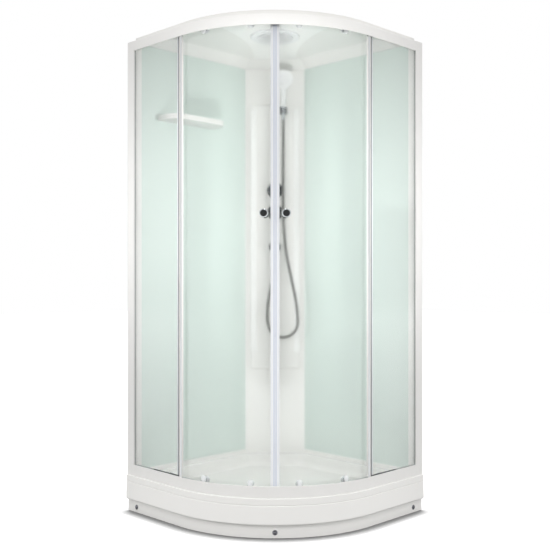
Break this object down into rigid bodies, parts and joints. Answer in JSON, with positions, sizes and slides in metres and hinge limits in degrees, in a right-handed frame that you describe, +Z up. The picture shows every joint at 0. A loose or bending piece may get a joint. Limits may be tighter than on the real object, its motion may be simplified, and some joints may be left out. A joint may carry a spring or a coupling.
{
  "type": "shower cabin",
  "caption": "Quadrant corner shower cabin with curved sliding glass doors on rollers, a low tray, glass back walls, a corner column with mixer and hand shower, and a domed roof.",
  "frame": {"origin": "on the floor, at the middle of the square footprint", "axes": "+Z up; the back corner of the room lies at (-X, +Y), one wall along x = -0.45 and one along y = +0.45, and the rounded front faces (+X, -Y)"},
  "size_m": [0.9, 0.9, 2.068],
  "materials": {
    "acrylic": "gloss",
    "panel_plastic": "gloss",
    "white_aluminium": "white powder coat, smooth",
    "bare_aluminium": "satin",
    "frosted_glass": "satin, slightly frosted",
    "wall_glass": "mint tint, gloss, backed",
    "gasket": "matte",
    "seal": "translucent",
    "chrome": "polished",
    "brass": "raw casting",
    "steel": "galvanised",
    "foot_rubber": "matte",
    "trap_plastic": "matte",
    "hose_metal": "wound metal strip",
    "pipe_plastic": "matte",
    "handset_plastic": "gloss",
    "spray_plastic": "matte",
    "rose_plastic": "gloss",
    "wheel_plastic": "low-friction plastic"
  },
  "bodies": {
    "cabin": {"ceiling_cover": "acrylic", "column": "acrylic", "drain_trap": "trap_plastic", "feed_pipe": "pipe_plastic", "foot_nuts": "steel", "foot_pads": "foot_rubber", "foot_studs": "steel", "front_apron": "acrylic", "glazing_gaskets": "gasket", "handset_holder": "chrome", "hose": "hose_metal", "hose_nut": "chrome", "hose_outlet": "chrome", "kick_panel": "panel_plastic", "kick_screws": "chrome", "left_edge_profile": "white_aluminium", "left_fixed_glass": "frosted_glass", "left_post": "white_aluminium", "left_wall_panel": "wall_glass", "lower_rail": "white_aluminium", "lower_track": "bare_aluminium", "mixer_body": "brass", "mixer_plates": "chrome", "overhead_shower": "rose_plastic", "overhead_spray_plate": "spray_plastic", "right_edge_profile": "white_aluminium", "right_fixed_glass": "frosted_glass", "right_post": "white_aluminium", "right_wall_panel": "wall_glass", "roof": "acrylic", "shelf": "acrylic", "shelf_bolts": "chrome", "support_frame": "steel", "tray": "acrylic", "upper_rail": "white_aluminium", "upper_track": "bare_aluminium"},
    "right_door": {"right_door_glass": "frosted_glass", "right_door_axles": "chrome", "right_door_knobs": "chrome", "right_magnet_seal": "seal", "right_side_seal": "seal"},
    "left_door": {"left_door_glass": "frosted_glass", "left_door_axles": "chrome", "left_door_knobs": "chrome", "left_magnet_seal": "seal", "left_side_seal": "seal"},
    "right_wheel_lower_inner": {"right_wheel_lower_inner": "wheel_plastic"},
    "right_wheel_lower_outer": {"right_wheel_lower_outer": "wheel_plastic"},
    "right_wheel_upper_inner": {"right_wheel_upper_inner": "wheel_plastic"},
    "right_wheel_upper_outer": {"right_wheel_upper_outer": "wheel_plastic"},
    "left_wheel_lower_inner": {"left_wheel_lower_inner": "wheel_plastic"},
    "left_wheel_lower_outer": {"left_wheel_lower_outer": "wheel_plastic"},
    "left_wheel_upper_inner": {"left_wheel_upper_inner": "wheel_plastic"},
    "left_wheel_upper_outer": {"left_wheel_upper_outer": "wheel_plastic"},
    "diverter": {"diverter_knob": "chrome"},
    "mixer": {"mixer_knob": "chrome"},
    "handset": {"handset_body": "handset_plastic", "handset_face": "spray_plastic", "hose_cone": "chrome"},
    "grate": {"drain_grate": "chrome"}
  },
  "joints": [
    {"name": "right_door_travel", "type": "hinge", "parent": "cabin", "child": "right_door", "pos_m": [-0.1, 0.1, 1.0865], "axis": [0, 0, 1], "range_deg": [0, 25]},
    {"name": "left_door_travel", "type": "hinge", "parent": "cabin", "child": "left_door", "pos_m": [-0.1, 0.1, 1.0865], "axis": [0, 0, -1], "range_deg": [0, 25]},
    {"name": "right_wheel_lower_inner_roll", "type": "hinge", "parent": "right_door", "child": "right_wheel_lower_inner", "pos_m": [0.31511, -0.18583, 0.2018], "axis": [0.8236, -0.5671, 0], "continuous": true},
    {"name": "right_wheel_lower_outer_roll", "type": "hinge", "parent": "right_door", "child": "right_wheel_lower_outer", "pos_m": [0.39167, -0.0108, 0.2018], "axis": [0.9755, -0.2198, 0], "continuous": true},
    {"name": "right_wheel_upper_inner_roll", "type": "hinge", "parent": "right_door", "child": "right_wheel_upper_inner", "pos_m": [0.31511, -0.18583, 1.9712], "axis": [0.8236, -0.5671, 0], "continuous": true},
    {"name": "right_wheel_upper_outer_roll", "type": "hinge", "parent": "right_door", "child": "right_wheel_upper_outer", "pos_m": [0.39167, -0.0108, 1.9712], "axis": [0.9755, -0.2198, 0], "continuous": true},
    {"name": "left_wheel_lower_inner_roll", "type": "hinge", "parent": "left_door", "child": "left_wheel_lower_inner", "pos_m": [0.18583, -0.31511, 0.2018], "axis": [0.5671, -0.8236, 0], "continuous": true},
    {"name": "left_wheel_lower_outer_roll", "type": "hinge", "parent": "left_door", "child": "left_wheel_lower_outer", "pos_m": [0.0108, -0.39167, 0.2018], "axis": [0.2198, -0.9755, 0], "continuous": true},
    {"name": "left_wheel_upper_inner_roll", "type": "hinge", "parent": "left_door", "child": "left_wheel_upper_inner", "pos_m": [0.18583, -0.31511, 1.9712], "axis": [0.5671, -0.8236, 0], "continuous": true},
    {"name": "left_wheel_upper_outer_roll", "type": "hinge", "parent": "left_door", "child": "left_wheel_upper_outer", "pos_m": [0.0108, -0.39167, 1.9712], "axis": [0.2198, -0.9755, 0], "continuous": true},
    {"name": "diverter_turn", "type": "hinge", "parent": "cabin", "child": "diverter", "pos_m": [-0.305, 0.305, 1.417], "axis": [0.7071, -0.7071, 0], "range_deg": [-60, 60]},
    {"name": "mixer_turn", "type": "hinge", "parent": "cabin", "child": "mixer", "pos_m": [-0.305, 0.305, 1.312], "axis": [0.7071, -0.7071, 0], "range_deg": [-135, 135]},
    {"name": "handset_lift", "type": "slide", "parent": "cabin", "child": "handset", "axis": [0, 0, 1], "range_m": [0, 0.045]},
    {"name": "grate_lift", "type": "slide", "parent": "cabin", "child": "grate", "axis": [0, 0, 1], "range_m": [0, 0.05]}
  ],
  "couplings": [
    {"joint": "right_wheel_lower_inner_roll", "follows": "right_door_travel", "ratio": -53.053},
    {"joint": "right_wheel_lower_outer_roll", "follows": "right_door_travel", "ratio": -53.053},
    {"joint": "right_wheel_upper_inner_roll", "follows": "right_door_travel", "ratio": 53.053},
    {"joint": "right_wheel_upper_outer_roll", "follows": "right_door_travel", "ratio": 53.053},
    {"joint": "left_wheel_lower_inner_roll", "follows": "left_door_travel", "ratio": 53.053},
    {"joint": "left_wheel_lower_outer_roll", "follows": "left_door_travel", "ratio": 53.053},
    {"joint": "left_wheel_upper_inner_roll", "follows": "left_door_travel", "ratio": -53.053},
    {"joint": "left_wheel_upper_outer_roll", "follows": "left_door_travel", "ratio": -53.053}
  ]
}
